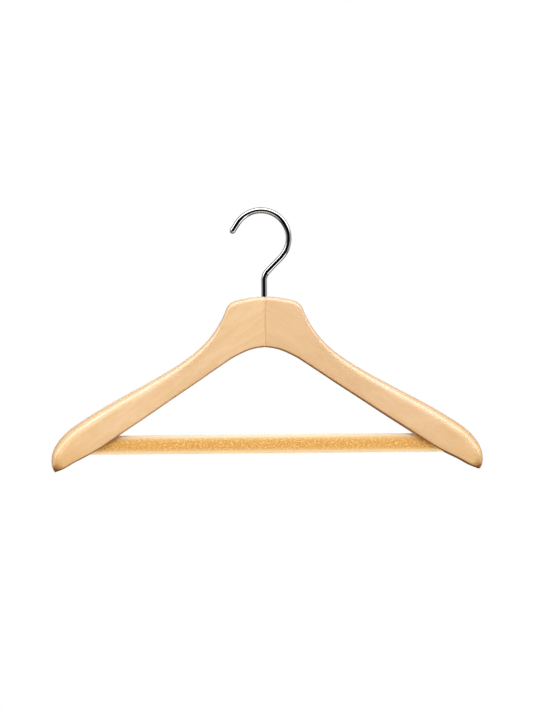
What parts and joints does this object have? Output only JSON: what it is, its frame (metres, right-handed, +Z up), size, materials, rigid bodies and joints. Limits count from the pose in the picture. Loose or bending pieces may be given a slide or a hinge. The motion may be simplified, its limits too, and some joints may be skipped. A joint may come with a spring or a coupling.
{
  "type": "trouser hanger",
  "caption": "Contoured wooden suit hanger with a flocked trouser bar between its arms and a polished wire hook that swivels in the neck.",
  "frame": {"origin": "where the inside of the hook rests on a rail, on the axis of the hook's shank", "axes": "+Z up along the shank, +X to the right along the arms seen from the front, -Y to the front, towards which the shoulders curve"},
  "size_m": [0.431, 0.0587, 0.2633],
  "materials": {
    "left_board": "pale hardwood under satin clear lacquer",
    "right_board": "pale hardwood under satin clear lacquer",
    "plain_wood": "bare turned beech",
    "flock": "short golden flock",
    "hook_chrome": "polished chrome plate",
    "bush_brass": "turned",
    "zinc_steel": "bright zinc plate"
  },
  "bodies": {
    "hook": {"hook": "hook_chrome", "hook_washer": "zinc_steel"},
    "hanger": {"left_arm": "left_board", "right_arm": "right_board", "upper_neck_dowel": "plain_wood", "lower_neck_dowel": "plain_wood", "swivel_bush": "bush_brass", "bar_core": "plain_wood", "bar_flock": "flock", "left_bar_screw": "zinc_steel", "right_bar_screw": "zinc_steel"}
  },
  "joints": [
    {"name": "hook_swivel", "type": "hinge", "parent": "hook", "child": "hanger", "pos_m": [0, 0, -0.0838], "axis": [0, 0, 1], "continuous": true}
  ]
}
